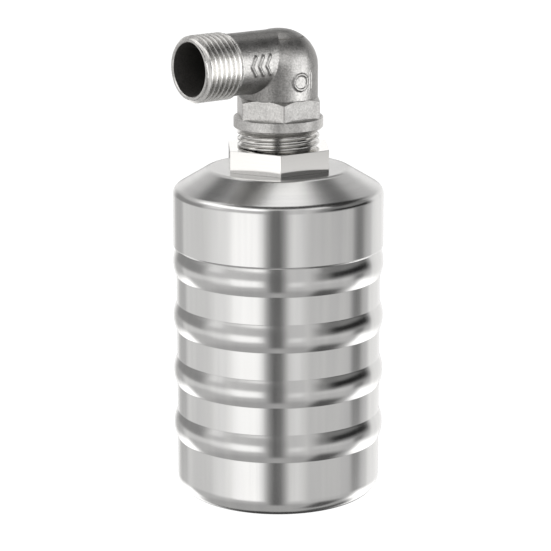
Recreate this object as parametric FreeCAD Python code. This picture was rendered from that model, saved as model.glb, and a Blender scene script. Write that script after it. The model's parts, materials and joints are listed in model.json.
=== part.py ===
"""Float valve with a sealed float drum that slides on the valve tube.

Millimetres, +Z up. The origin is the centre of the drum's flat base with the drum
fully raised, which closes the valve. The male inlet points along -X.
"""
import FreeCAD
import Part
import math
import os
from FreeCAD import Vector

# ---------------------------------------------------------------- float drum
STROKE = 10.0
SHEET = 0.6
BAND_R = 32.45
BEAD_R = 33.5
BEAD_HEIGHT = 8.9
BEAD_PITCH = 17.75
BEAD_SLOPE = math.radians(22.4)
BEAD_ROOT_R = 0.6
BEAD_COUNT = 4
FIRST_BEAD_Z = 18.6
BASE_CORNER_R = 6.2
COVER_R = 33.4
COVER_LOW_Z = 81.3
LAP_R = COVER_R - SHEET - 0.05
LAP_STEP = 0.1
LAP_TOP_Z = 86.0
SHOULDER_Z = 99.8
SHOULDER_CORNER_R = 3.0
DISC_R = 22.3
DISC_CORNER_R = 4.0
DISC_Z = 106.5
COVER_HOLE_R = 15.05

# ---------------------------------------------------------------- sliding guide
GUIDE_GAP = 0.05
BUSH_R = 15.0
BUSH_LIP_R = 11.3
BUSH_LOW_Z = 100.5
BUSH_TOP_Z = DISC_Z - 0.1
NECK_RING_R = 17.5
NECK_RING_SHELF = 1.0
RING_LOW_Z = 101.5
RING_HIGH_Z = 105.5
RING_OUT_R = 12.0
RING_SPLIT = 3.0
WELL_R = 13.0
WELL_WALL = 0.6
WELL_LOW_Z = 60.0
WELL_TOP_Z = 97.0
WELL_CAP_UNDER = 1.5
WELL_CAP_OVER = 1.0

# ---------------------------------------------------------------- valve tube
TUBE_R = 11.0
TUBE_LOW_Z = 80.0
CHAMBER_R = 9.0
SEAT_Z = 102.5
SEAT_R = 6.0
SEAT_OUT_R = 8.0
SEAT_LIP_R = 7.3
SEAT_LIP = 2.5
SEAT_HEIGHT = 7.5
INLET_BORE_R = 7.0
WINDOW_COUNT = 4
WINDOW_WIDTH = 9.0
WINDOW_LOW_Z = 98.2
WINDOW_HIGH_Z = 103.6
CLIP_THICKNESS = 1.3
CLIP_Z = BUSH_LOW_Z - STROKE - CLIP_THICKNESS
CLIP_IN_R = 10.2
CLIP_OUT_R = 12.5
CLIP_SPLIT = 4.0
CLIP_GROOVE_R = CLIP_IN_R - 0.05
CLIP_GROOVE_GAP = 0.1

# ---------------------------------------------------------------- neck
NUT_ACROSS_FLATS = 31.0
NUT_TURN = -4.9
NUT_TOP_Z = 113.4
NECK_R = 13.0
NECK_ROOT_R = 11.77
NECK_PITCH = 2.0
NECK_TOP_Z = 118.8
STUB_R = 10.4
STUB_TOP_Z = 131.0
STRAINER_R = 6.0
STRAINER_WALL = 0.8
STRAINER_LOW_Z = 112.0
STRAINER_FLANGE_R = 9.9
SLOT_WIDTH = 1.2
SLOT_LENGTH = 12.0
SLOT_LOW_Z = 115.5
SLOT_CUTS = 3

# ---------------------------------------------------------------- elbow
COLLAR_R = 14.0
COLLAR_LOW_Z = 119.0
COLLAR_CHAMFER = 0.8
ELBOW_HEX_FLATS = 24.5
ELBOW_HEX_LOW_Z = 123.0
ELBOW_HEX_TOP_Z = 129.3
ELBOW_HEX_CHAMFER = math.radians(32.7)
BODY_R = 12.45
INLET_Z = 140.8
BARREL_R = 9.7
ELBOW_SOCKET_R = 10.45
SOCKET_TOP_Z = 132.5
ELBOW_PASSAGE_R = 8.0
ELBOW_SEAL_R = 10.3
DOME_CORNER_R = 11.6
INLET_PASSAGE_R = 8.43
INLET_FACE_X = -34.45
THREAD_END_X = -20.3
THREAD_MAJOR_R = 10.4775
THREAD_MINOR_R = 9.3155
THREAD_PITCH = 1.814
THREAD_CREST = 0.3
THREAD_LAND = 0.9

# ---------------------------------------------------------------- piston
PISTON_R = 8.95
PISTON_LOW_Z = 92.0
PISTON_CROWN_Z = 98.0
PISTON_TOP_Z = 100.5
PISTON_GROOVE_Z = 94.1
SEAL_TOP_Z = SEAT_Z - 0.02
JET_R = 1.5
JET_HOLE_R = 0.4
JET_HEAD_R = 3.0
SKIRT_IN_R = 6.3
SPRING_R = 5.2
SPRING_WIRE_R = 0.5
SPRING_TURNS = 5
SPRING_LOW_Z = 84.0

# ---------------------------------------------------------------- pilot
PLUG_FLANGE_Z = 76.5
PLUG_TOP_Z = 84.0
PLUG_GROOVE_Z = 81.2
GROOVE_R = 7.6
GROOVE_HEIGHT = 1.6
GROOVE_GAP = 0.1
RING_WALL_GAP = 0.03
NOZZLE_R = 2.5
NOZZLE_TIP_Z = 74.0
NOZZLE_HOLE_R = 0.6
NOZZLE_HEAD_R = 3.9
NOZZLE_HEAD = 1.6
WASHER_R = 4.1
WASHER = 0.4
PAD_R = 4.0
PAD_TOP_Z = NOZZLE_TIP_Z - 0.05
STUD_R = 1.5
STUD_HEAD_R = 3.0
STUD_HEAD = 1.5
STUD_TOP_Z = 70.0
LOCKNUT_FLATS = 5.5
LOCKNUT_HEIGHT = 2.4

AXIS = Vector(0, 0, 1)
ORIGIN = Vector(0, 0, 0)


def rounded_face(points):
    """Face in the XZ plane from (r, z) corners; a third number rounds that corner."""
    starts, ends, middles = [], [], []
    count = len(points)
    for index, point in enumerate(points):
        corner = Vector(point[0], 0, point[1])
        before = Vector(points[index - 1][0], 0, points[index - 1][1])
        after = Vector(points[(index + 1) % count][0], 0, points[(index + 1) % count][1])
        radius = point[2] if len(point) > 2 else 0.0
        to_before = (before - corner).normalize()
        to_after = (after - corner).normalize()
        half = to_before.getAngle(to_after) / 2
        reach = radius / math.tan(half)
        bisector = to_before + to_after
        starts.append(corner + to_before * reach)
        ends.append(corner + to_after * reach)
        if radius:
            middles.append(corner + bisector.normalize() * (radius / math.sin(half) - radius))
        else:
            middles.append(None)
    edges = []
    for index in range(count):
        if middles[index]:
            edges.append(Part.Arc(starts[index], middles[index], ends[index]).toShape())
        following = (index + 1) % count
        if (starts[following] - ends[index]).Length > 1e-6:
            edges.append(Part.LineSegment(ends[index], starts[following]).toShape())
    return Part.Face(Part.Wire(edges))


def turned(points):
    """Solid of revolution about the Z axis."""
    return rounded_face(points).revolve(ORIGIN, AXIS, 360)


def ring(inner, outer, low, high):
    """Plain ring between two radii and two heights."""
    return turned([(inner, low), (outer, low), (outer, high), (inner, high)])


def disc(radius, low, high):
    """Plain round bar between two heights."""
    return Part.makeCylinder(radius, high - low, Vector(0, 0, low))


def split_ring(whole, width):
    """Cut a gap of the given width through a ring on its +X side."""
    box = whole.BoundBox
    gap = Part.makeBox(box.XMax, width, box.ZLength, Vector(0, -width / 2, box.ZMin))
    return whole.cut(gap)


def hexagon(across_flats, low, high, turn=0.0):
    """Hexagonal prism with a corner at the angle of turn, in degrees from +X."""
    corner_r = across_flats / math.sqrt(3)
    corners = []
    for index in range(7):
        angle = math.radians(turn + 60 * index)
        corners.append(Vector(corner_r * math.cos(angle), corner_r * math.sin(angle), low))
    return Part.Face(Part.makePolygon(corners)).extrude(Vector(0, 0, high - low))


def inset(points, thickness):
    """Move an open chain of (r, z, radius) corners to its left by the thickness."""
    moved = []
    for index, (r, z, radius) in enumerate(points):
        here = Vector(r, 0, z)
        ways = []
        if index > 0:
            ways.append((here - Vector(points[index - 1][0], 0, points[index - 1][1])).normalize())
        if index < len(points) - 1:
            ways.append((Vector(points[index + 1][0], 0, points[index + 1][1]) - here).normalize())
        normals = [Vector(-way.z, 0, way.x) for way in ways]
        if len(normals) == 1:
            shift = normals[0] * thickness
        else:
            shift = (normals[0] + normals[1]) * (thickness / (1 + normals[0].dot(normals[1])))
        bends_left = len(ways) == 2 and ways[0].x * ways[1].z - ways[0].z * ways[1].x > 0
        new_radius = 0.0
        if radius:
            new_radius = radius - thickness if bends_left else radius + thickness
        moved.append((here.x + shift.x, here.z + shift.z, new_radius))
    return moved


def sheet_shell(points):
    """Turned shell of sheet metal whose outside follows the chain of corners."""
    return turned(points + inset(points, SHEET)[::-1])


def thread_points(major, minor, start, end, pitch):
    """Ridged outline from start to end: full crests, V flanks and small root flats."""
    step = pitch if end > start else -pitch
    flank = (pitch - THREAD_CREST) / 2 - 0.05
    way = 1 if end > start else -1
    points = []
    position = start
    while abs(end - position) > pitch - 1e-6:
        middle = position + step / 2
        points.append((minor, middle - way * (flank + THREAD_CREST / 2)))
        points.append((major, middle - way * THREAD_CREST / 2))
        points.append((major, middle + way * THREAD_CREST / 2))
        points.append((minor, middle + way * (flank + THREAD_CREST / 2)))
        position += step
    return points


def to_inlet(shape):
    """Lay a shape turned about +Z onto the inlet axis, with +Z going to -X."""
    shape.rotate(ORIGIN, Vector(0, 1, 0), -90)
    shape.translate(Vector(0, 0, INLET_Z))
    return shape


# ---------------------------------------------------------------- float drum pieces
def bead_corners(low_z):
    """Corners of one pressed bead: root, apex and root."""
    half = BEAD_HEIGHT / 2
    rise = half * math.tan(BEAD_SLOPE)
    crest = BEAD_R - BAND_R
    radius = (rise - crest) / (1 / math.cos(BEAD_SLOPE) - 1)
    return [
        (BAND_R, low_z, BEAD_ROOT_R),
        (BAND_R + rise, low_z + half, radius),
        (BAND_R, low_z + BEAD_HEIGHT, BEAD_ROOT_R),
    ]


def make_drum_body():
    corners = [(0.0, 0.0, 0.0), (BAND_R, 0.0, BASE_CORNER_R)]
    for index in range(BEAD_COUNT):
        corners += bead_corners(FIRST_BEAD_Z + BEAD_PITCH * index)
    corners[-1] = (BAND_R, corners[-1][1], 0.0)
    corners.append((LAP_R, COVER_LOW_Z + LAP_STEP, 0.0))
    corners.append((LAP_R, LAP_TOP_Z, 0.0))
    return sheet_shell(corners)


def make_drum_cover():
    return sheet_shell([
        (COVER_R, COVER_LOW_Z, 0.0),
        (COVER_R, SHOULDER_Z, SHOULDER_CORNER_R),
        (DISC_R, DISC_Z, DISC_CORNER_R),
        (COVER_HOLE_R, DISC_Z, 0.0),
    ])


def make_neck_ring():
    """Ring welded inside the cover: it holds the bush above and the well tube below."""
    shelf_z = BUSH_LOW_Z
    return turned([
        (WELL_R, WELL_TOP_Z),
        (WELL_R + WELL_WALL, WELL_TOP_Z),
        (WELL_R + WELL_WALL, shelf_z - NECK_RING_SHELF),
        (NECK_RING_R, shelf_z - NECK_RING_SHELF),
        (NECK_RING_R, DISC_Z - SHEET),
        (BUSH_R, DISC_Z - SHEET),
        (BUSH_R, shelf_z),
        (WELL_R, shelf_z),
    ])


def make_guide_bush():
    groove_r = RING_OUT_R + GUIDE_GAP
    return turned([
        (BUSH_LIP_R, BUSH_LOW_Z),
        (BUSH_R, BUSH_LOW_Z),
        (BUSH_R, BUSH_TOP_Z),
        (BUSH_LIP_R, BUSH_TOP_Z),
        (BUSH_LIP_R, RING_HIGH_Z + GUIDE_GAP),
        (groove_r, RING_HIGH_Z + GUIDE_GAP),
        (groove_r, RING_LOW_Z - GUIDE_GAP),
        (BUSH_LIP_R, RING_LOW_Z - GUIDE_GAP),
    ])


def make_guide_ring():
    """Low-friction ring with a split, so it can be opened over the tube."""
    whole = ring(TUBE_R + GUIDE_GAP, RING_OUT_R, RING_LOW_Z, RING_HIGH_Z)
    return split_ring(whole, RING_SPLIT)


def make_well_tube():
    return ring(WELL_R, WELL_R + WELL_WALL, WELL_LOW_Z, WELL_TOP_Z)


def make_well_cap():
    """Turned cap welded in the well's lower end, tapped for the pad's stud."""
    return turned([
        (STUD_R, WELL_LOW_Z - WELL_CAP_UNDER),
        (WELL_R + WELL_WALL, WELL_LOW_Z - WELL_CAP_UNDER),
        (WELL_R + WELL_WALL, WELL_LOW_Z),
        (WELL_R, WELL_LOW_Z),
        (WELL_R, WELL_LOW_Z + WELL_CAP_OVER),
        (STUD_R, WELL_LOW_Z + WELL_CAP_OVER),
    ])


def make_pad_stud():
    """Adjusting stud that carries the pilot pad, set to the closing level."""
    shank = disc(STUD_R, WELL_LOW_Z - WELL_CAP_UNDER, STUD_TOP_Z - STUD_HEAD)
    head = disc(STUD_HEAD_R, STUD_TOP_Z - STUD_HEAD, STUD_TOP_Z)
    return shank.fuse(head).removeSplitter()


def make_pad_locknut():
    foot_z = WELL_LOW_Z + WELL_CAP_OVER
    nut = hexagon(LOCKNUT_FLATS, foot_z, foot_z + LOCKNUT_HEIGHT)
    return nut.cut(disc(STUD_R, WELL_LOW_Z, STUD_TOP_Z))


def make_pilot_pad():
    return turned([(0, STUD_TOP_Z), (PAD_R, STUD_TOP_Z), (PAD_R, PAD_TOP_Z, 0.4), (0, PAD_TOP_Z)])


# ---------------------------------------------------------------- valve body pieces
def make_valve_body():
    """One bar: threaded stub, threaded neck, hexagon and the ported tube below."""
    neck = thread_points(NECK_R, NECK_ROOT_R, NUT_TOP_Z, NECK_TOP_Z, NECK_PITCH)
    outline = [(0, TUBE_LOW_Z), (TUBE_R, TUBE_LOW_Z)]
    groove_low = CLIP_Z - CLIP_GROOVE_GAP
    groove_high = CLIP_Z + CLIP_THICKNESS + CLIP_GROOVE_GAP
    outline += [(TUBE_R, groove_low), (CLIP_GROOVE_R, groove_low)]
    outline += [(CLIP_GROOVE_R, groove_high), (TUBE_R, groove_high)]
    outline += [(TUBE_R, DISC_Z + 1.0), (NECK_ROOT_R, DISC_Z + 1.0)]
    outline += neck
    outline += [(NECK_ROOT_R, NECK_TOP_Z), (STUB_R, NECK_TOP_Z)]
    outline += [(STUB_R, STUB_TOP_Z), (0, STUB_TOP_Z)]
    body = turned(outline)
    body = body.fuse(hexagon(NUT_ACROSS_FLATS, DISC_Z, NUT_TOP_Z, NUT_TURN))
    hollow = turned([
        (0, TUBE_LOW_Z - 1.0),
        (CHAMBER_R, TUBE_LOW_Z - 1.0),
        (CHAMBER_R, SEAT_Z + SEAT_LIP),
        (SEAT_OUT_R, SEAT_Z + SEAT_LIP),
        (SEAT_OUT_R, SEAT_Z + SEAT_HEIGHT),
        (INLET_BORE_R, SEAT_Z + SEAT_HEIGHT),
        (INLET_BORE_R, STUB_TOP_Z + 1.0),
        (0, STUB_TOP_Z + 1.0),
    ])
    body = body.cut(hollow)
    for index in range(WINDOW_COUNT):
        window = Part.makeBox(8.0, WINDOW_WIDTH, WINDOW_HIGH_Z - WINDOW_LOW_Z,
                              Vector(6.0, -WINDOW_WIDTH / 2, WINDOW_LOW_Z))
        window.rotate(ORIGIN, AXIS, 45 + 90 * index)
        body = body.cut(window)
    return body.removeSplitter()


def make_seat_ring():
    """Seat pressed up into the body: the piston's rubber face closes its lower lip."""
    return turned([
        (SEAT_R, SEAT_Z, 0.2),
        (SEAT_LIP_R, SEAT_Z, 0.2),
        (SEAT_LIP_R, SEAT_Z + SEAT_LIP),
        (SEAT_OUT_R, SEAT_Z + SEAT_LIP),
        (SEAT_OUT_R, SEAT_Z + SEAT_HEIGHT),
        (SEAT_R, SEAT_Z + SEAT_HEIGHT, 0.8),
    ])


def make_snap_ring():
    """Open retaining ring: the drum's guide bush comes down onto it."""
    whole = ring(CLIP_IN_R, CLIP_OUT_R, CLIP_Z, CLIP_Z + CLIP_THICKNESS)
    return split_ring(whole, CLIP_SPLIT)


def groove_ring(groove_z):
    """O-ring that fills a groove and seals against the chamber wall."""
    low = groove_z + GROOVE_GAP
    high = groove_z + GROOVE_HEIGHT - GROOVE_GAP
    return ring(GROOVE_R, CHAMBER_R - RING_WALL_GAP, low, high)


def make_end_plug():
    """Plug whose round body and O-ring close the chamber; its flange is the tube's end."""
    return turned([
        (NOZZLE_R, PLUG_FLANGE_Z),
        (TUBE_R, PLUG_FLANGE_Z, 0.5),
        (TUBE_R, TUBE_LOW_Z),
        (PISTON_R, TUBE_LOW_Z),
        (PISTON_R, PLUG_GROOVE_Z),
        (GROOVE_R, PLUG_GROOVE_Z),
        (GROOVE_R, PLUG_GROOVE_Z + GROOVE_HEIGHT),
        (PISTON_R, PLUG_GROOVE_Z + GROOVE_HEIGHT),
        (PISTON_R, PLUG_TOP_Z, 0.4),
        (NOZZLE_R, PLUG_TOP_Z),
    ])


def make_end_plug_oring():
    return groove_ring(PLUG_GROOVE_Z)


def make_pilot_nozzle():
    """Drilled nozzle screwed in from inside; its tip stands out below the plug."""
    return turned([
        (NOZZLE_HOLE_R, NOZZLE_TIP_Z),
        (NOZZLE_HOLE_R + 0.8, NOZZLE_TIP_Z),
        (NOZZLE_R, NOZZLE_TIP_Z + 1.6),
        (NOZZLE_R, PLUG_TOP_Z + WASHER),
        (NOZZLE_HEAD_R, PLUG_TOP_Z + WASHER),
        (NOZZLE_HEAD_R, PLUG_TOP_Z + WASHER + NOZZLE_HEAD, 0.4),
        (NOZZLE_HOLE_R, PLUG_TOP_Z + WASHER + NOZZLE_HEAD),
    ])


def make_nozzle_washer():
    return ring(NOZZLE_R, WASHER_R, PLUG_TOP_Z, PLUG_TOP_Z + WASHER)


def make_inlet_strainer():
    """Slotted thimble whose flange is held between the stub and the elbow."""
    thimble = turned([
        (0, STRAINER_LOW_Z),
        (STRAINER_R, STRAINER_LOW_Z, 1.0),
        (STRAINER_R, STUB_TOP_Z),
        (STRAINER_FLANGE_R, STUB_TOP_Z),
        (STRAINER_FLANGE_R, STUB_TOP_Z + STRAINER_WALL),
        (STRAINER_R - STRAINER_WALL, STUB_TOP_Z + STRAINER_WALL),
        (STRAINER_R - STRAINER_WALL, STRAINER_LOW_Z + STRAINER_WALL, 0.4),
        (0, STRAINER_LOW_Z + STRAINER_WALL),
    ])
    for index in range(SLOT_CUTS):
        slot = Part.makeBox(3 * STRAINER_R, SLOT_WIDTH, SLOT_LENGTH,
                            Vector(-1.5 * STRAINER_R, -SLOT_WIDTH / 2, SLOT_LOW_Z))
        slot.rotate(ORIGIN, AXIS, 30 + 180 / SLOT_CUTS * index)
        thimble = thimble.cut(slot)
    return thimble


def make_elbow_seal():
    return ring(ELBOW_PASSAGE_R, ELBOW_SEAL_R, STUB_TOP_Z + STRAINER_WALL, SOCKET_TOP_Z)


# ---------------------------------------------------------------- elbow
def make_elbow():
    """Cast elbow: socket with collar and hexagon, domed bend and threaded barrel."""
    upright = turned([
        (0, ELBOW_HEX_LOW_Z),
        (BODY_R, ELBOW_HEX_LOW_Z),
        (BODY_R, INLET_Z + BARREL_R, DOME_CORNER_R),
        (0, INLET_Z + BARREL_R),
    ])
    slope = math.tan(ELBOW_HEX_CHAMFER)
    flat_r = ELBOW_HEX_FLATS / 2
    top_z = ELBOW_HEX_TOP_Z + slope * flat_r
    chamfer_cone = turned([
        (0, ELBOW_HEX_LOW_Z),
        (COLLAR_R + 2.0, ELBOW_HEX_LOW_Z),
        (COLLAR_R + 2.0, top_z - slope * (COLLAR_R + 2.0)),
        (0, top_z),
    ])
    hex_part = hexagon(ELBOW_HEX_FLATS, ELBOW_HEX_LOW_Z, top_z).common(chamfer_cone)
    collar = turned([
        (0, COLLAR_LOW_Z),
        (COLLAR_R - COLLAR_CHAMFER, COLLAR_LOW_Z),
        (COLLAR_R, COLLAR_LOW_Z + COLLAR_CHAMFER),
        (COLLAR_R, ELBOW_HEX_LOW_Z - 0.2),
        (COLLAR_R - 0.2, ELBOW_HEX_LOW_Z),
        (0, ELBOW_HEX_LOW_Z),
    ])
    face = -INLET_FACE_X
    root = -THREAD_END_X
    thread = thread_points(THREAD_MAJOR_R, THREAD_MINOR_R, face - THREAD_LAND, root, THREAD_PITCH)
    barrel = [(0, 0), (BARREL_R, 0), (BARREL_R, root - 0.4), (THREAD_MINOR_R, root)]
    barrel += thread[::-1]
    barrel += [(THREAD_MINOR_R, face - THREAD_LAND), (THREAD_MINOR_R, face - 0.3)]
    barrel += [(THREAD_MINOR_R - 0.3, face), (0, face)]
    elbow = upright.fuse([hex_part, collar, to_inlet(turned(barrel))])
    socket = turned([
        (0, COLLAR_LOW_Z - 1.0),
        (ELBOW_SOCKET_R, COLLAR_LOW_Z - 1.0),
        (ELBOW_SOCKET_R, SOCKET_TOP_Z),
        (ELBOW_PASSAGE_R, SOCKET_TOP_Z),
        (ELBOW_PASSAGE_R, INLET_Z + ELBOW_PASSAGE_R - 1.0, 6.0),
        (0, INLET_Z + ELBOW_PASSAGE_R - 1.0),
    ])
    passage = to_inlet(disc(INLET_PASSAGE_R, 0.0, -INLET_FACE_X + 1.0))
    return elbow.cut(socket).cut(passage).removeSplitter()


# ---------------------------------------------------------------- piston pieces
def make_piston():
    return turned([
        (JET_R, PISTON_CROWN_Z),
        (SKIRT_IN_R, PISTON_CROWN_Z),
        (SKIRT_IN_R, PISTON_LOW_Z),
        (PISTON_R, PISTON_LOW_Z, 0.3),
        (PISTON_R, PISTON_GROOVE_Z),
        (GROOVE_R, PISTON_GROOVE_Z),
        (GROOVE_R, PISTON_GROOVE_Z + GROOVE_HEIGHT),
        (PISTON_R, PISTON_GROOVE_Z + GROOVE_HEIGHT),
        (PISTON_R, PISTON_TOP_Z, 0.3),
        (JET_R, PISTON_TOP_Z),
    ])


def make_piston_ring():
    return groove_ring(PISTON_GROOVE_Z)


def make_piston_seal():
    return ring(JET_R, SEAT_OUT_R, PISTON_TOP_Z, SEAL_TOP_Z)


def make_bleed_jet():
    """Drilled screw that holds the seal and refills the chamber above the plug."""
    return turned([
        (JET_HOLE_R, PISTON_CROWN_Z),
        (JET_R, PISTON_CROWN_Z),
        (JET_R, SEAL_TOP_Z),
        (JET_HEAD_R, SEAL_TOP_Z),
        (JET_HEAD_R, SEAL_TOP_Z + 1.0, 0.3),
        (JET_HOLE_R, SEAL_TOP_Z + 1.0),
    ])


def make_piston_spring():
    """Compression spring between the end plug and the piston crown."""
    height = PISTON_CROWN_Z - SPRING_LOW_Z - 2 * SPRING_WIRE_R
    path = Part.makeHelix(height / SPRING_TURNS, height, SPRING_R)
    path.translate(Vector(0, 0, SPRING_LOW_Z + SPRING_WIRE_R))
    start = Vector(SPRING_R, 0, SPRING_LOW_Z + SPRING_WIRE_R)
    section = Part.Wire(Part.makeCircle(SPRING_WIRE_R - 0.05, start, Vector(0, 1, 0)))
    return Part.Wire(path).makePipeShell([section], True, True)


PIECES = {
    "elbow": make_elbow,
    "elbow_seal": make_elbow_seal,
    "inlet_strainer": make_inlet_strainer,
    "valve_body": make_valve_body,
    "seat_ring": make_seat_ring,
    "snap_ring": make_snap_ring,
    "end_plug": make_end_plug,
    "end_plug_oring": make_end_plug_oring,
    "pilot_nozzle": make_pilot_nozzle,
    "nozzle_washer": make_nozzle_washer,
    "piston": make_piston,
    "piston_ring": make_piston_ring,
    "piston_seal": make_piston_seal,
    "bleed_jet": make_bleed_jet,
    "piston_spring": make_piston_spring,
    "guide_ring": make_guide_ring,
    "drum_cover": make_drum_cover,
    "drum_body": make_drum_body,
    "neck_ring": make_neck_ring,
    "guide_bush": make_guide_bush,
    "well_tube": make_well_tube,
    "well_cap": make_well_cap,
    "pad_stud": make_pad_stud,
    "pad_locknut": make_pad_locknut,
    "pilot_pad": make_pilot_pad,
}

os.makedirs("parts", exist_ok=True)
for name, make in PIECES.items():
    shape = make()
    print(name, "valid", shape.isValid(), "solids", len(shape.Solids), "mm3", round(shape.Volume, 1))
    shape.exportStep("parts/" + name + ".step")
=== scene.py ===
# %% [markdown]
# # Float valve: the frame
# A float valve fills a tank and shuts off by itself. Its measured model is already made, so
# this file only gives it its looks. Everything is built in metres, in the model's own frame:
# +Z is up, the drum's flat base is at z = 0 and the threaded inlet points along -X.

# %% Load the measured model
import json
import math
import bmesh
import bpy
import numpy as np
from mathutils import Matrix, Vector


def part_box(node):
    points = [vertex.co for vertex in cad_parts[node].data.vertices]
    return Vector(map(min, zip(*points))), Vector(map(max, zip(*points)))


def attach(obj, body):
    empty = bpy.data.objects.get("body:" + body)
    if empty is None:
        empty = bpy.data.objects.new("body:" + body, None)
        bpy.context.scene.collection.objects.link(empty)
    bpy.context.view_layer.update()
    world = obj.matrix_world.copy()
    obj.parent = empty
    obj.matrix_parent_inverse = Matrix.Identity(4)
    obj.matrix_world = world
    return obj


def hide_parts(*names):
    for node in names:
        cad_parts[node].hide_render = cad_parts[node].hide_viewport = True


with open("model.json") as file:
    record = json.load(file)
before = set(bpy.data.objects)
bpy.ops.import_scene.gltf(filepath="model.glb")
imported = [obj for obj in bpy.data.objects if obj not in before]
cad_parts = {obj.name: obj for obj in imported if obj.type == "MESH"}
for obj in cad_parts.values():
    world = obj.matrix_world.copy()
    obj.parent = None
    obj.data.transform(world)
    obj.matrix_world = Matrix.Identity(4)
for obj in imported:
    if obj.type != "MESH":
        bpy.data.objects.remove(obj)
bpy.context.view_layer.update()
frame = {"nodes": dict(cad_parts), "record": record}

MM = 0.001

# %% [markdown]
# ## Camera
# A long lens used from far off keeps upright edges upright, so the drum keeps its shape.
# The camera stands a little above the valve and looks past its left front, so that the
# inlet's mouth shows.

# %% Camera
VIEW_AZIMUTH = math.radians(-37.4)
VIEW_ELEVATION = math.radians(13.69)
VIEW_DISTANCE = 0.8256
VIEW_HEIGHT = 0.07105
VIEW_SIDE = -0.00089
SENSOR_MM = 36.0
LENS_MM = 168.7
to_camera = Vector((
    math.sin(VIEW_AZIMUTH) * math.cos(VIEW_ELEVATION),
    -math.cos(VIEW_AZIMUTH) * math.cos(VIEW_ELEVATION),
    math.sin(VIEW_ELEVATION),
))
camera_right = Vector((math.cos(VIEW_AZIMUTH), math.sin(VIEW_AZIMUTH), 0.0))
camera = bpy.data.objects.new("camera", bpy.data.cameras.new("camera"))
bpy.context.scene.collection.objects.link(camera)
camera.location = (
    Vector((0, 0, VIEW_HEIGHT)) + camera_right * VIEW_SIDE + to_camera * VIEW_DISTANCE
)
camera.rotation_mode = "QUATERNION"
camera.rotation_quaternion = (-to_camera).to_track_quat("-Z", "Y")
camera.data.sensor_width = SENSOR_MM
camera.data.lens = LENS_MM
camera.data.clip_start = 0.05
bpy.context.scene.camera = camera
print("camera at", [round(value, 3) for value in camera.location])

# %% [markdown]
# ## Nodes and colours
# Every finish below is a small tree of shader nodes. One helper adds a node, sets it and
# links it, and one function turns a hex colour, which is how people write colours down,
# into the linear numbers that light is computed with.

# %% Helpers for nodes and colours
def linear(hex_colour, alpha=1.0):
    """Turn an sRGB hex colour into linear red, green, blue and alpha."""
    values = []
    for start in (1, 3, 5):
        c = int(hex_colour[start:start + 2], 16) / 255
        values.append(c / 12.92 if c <= 0.04045 else ((c + 0.055) / 1.055) ** 2.4)
    return (*values, alpha)


def add(tree, kind, inputs=None, **settings):
    """Add one node; inputs maps a socket's name or number to a value or another socket."""
    node = tree.nodes.new(kind)
    for key, value in settings.items():
        setattr(node, key, value)
    for key, value in (inputs or {}).items():
        if isinstance(value, bpy.types.NodeSocket):
            tree.links.new(value, node.inputs[key])
        else:
            node.inputs[key].default_value = value
    return node


# %% [markdown]
# ## Studio
# Polished metal has hardly any colour of its own: what the eye reads is the room. In a
# studio the piece stands in a pale tent with bright panels and dark flags around it, and
# each one draws its own stripe down the drum. Real panels would need thousands of samples
# to render cleanly, so the tent here is painted on the world as soft-edged patches, each
# given by its bearing from the camera's side, its height above the horizon and its
# brightness. A later patch covers an earlier one where they meet.

# %% The tent's panels and flags
PANELS = [
    # name, bearing, height, half width, half depth, soft edge (degrees), brightness
    ("floor", 0, -76, 400, 34, 18, 0.55),
    ("floor_flag", 70, -54, 20, 15, 20, 0.12),
    ("right_under_flag", 146, -60, 28, 12, 14, 0.12),
    ("under_back_flag", -174, -62, 26, 14, 14, 0.06),
    ("under_back_slit", 178, -42, 14, 16, 12, 0.08),
    ("roof", 0, 82, 400, 42, 16, 1.00),
    ("back_roof", 180, 72, 64, 14, 16, 1.60),
    ("roof_left_front", -62, 41, 46, 12, 14, 2.00),
    ("roof_right_front", 36, 44, 22, 9, 16, 1.15),
    ("front_roof_flag", 0, 71, 105, 18, 12, 0.06),
    ("left_wall", -118, 4, 30, 13, 14, 0.37),
    ("left_low_wall", -100, -14, 28, 6, 8, 0.94),
    ("left_front_wall", -58, 12, 26, 12, 16, 0.77),
    ("left_lamp", -73, 17, 9, 8, 12, 1.12),
    ("left_wide_softbox", -54, -15, 24, 9, 22, 1.22),
    ("left_softbox", -35, -15, 18, 11, 10, 1.58),
    ("right_front_wall", 22, 4, 16, 40, 18, 0.80),
    ("right_strip", 20, -16, 8, 8, 12, 1.10),
    ("right_flag_edge", 56, 6, 14, 14, 22, 0.30),
    ("right_flag", 88, 5, 30, 11, 20, 0.01),
    ("right_upper_flag", 86, 24, 36, 8, 12, 0.26),
    ("right_high_flag", 104, 52, 36, 20, 14, 0.02),
    ("right_low_wall", 64, -15, 26, 5, 6, 0.80),
    ("right_low_flag", 100, -14, 8, 6, 12, 0.24),
    ("right_back_wall", 144, -2, 22, 20, 12, 1.12),
    ("behind", 180, -4, 22, 24, 14, 1.14),
    ("left_low_lamp", -144, -32, 22, 9, 14, 1.95),
    ("right_low_lamp", 132, -33, 28, 11, 14, 1.95),
    ("left_rim_flag", -140, -13, 10, 5, 8, 0.60),
    ("left_cone_flag", -142, 48, 12, 10, 12, 0.01),
    ("right_cone_flag", 141, 52, 9, 10, 12, 0.03),
    ("back_flag", 174, 36, 12, 10, 12, 0.10),
    ("back_slit", 180, -10, 8, 16, 6, 0.30),
    ("middle_flag", -2, -2, 9, 46, 14, 0.16),
]
TENT_GREY = 0.70
print("tent panels", len(PANELS))


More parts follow.
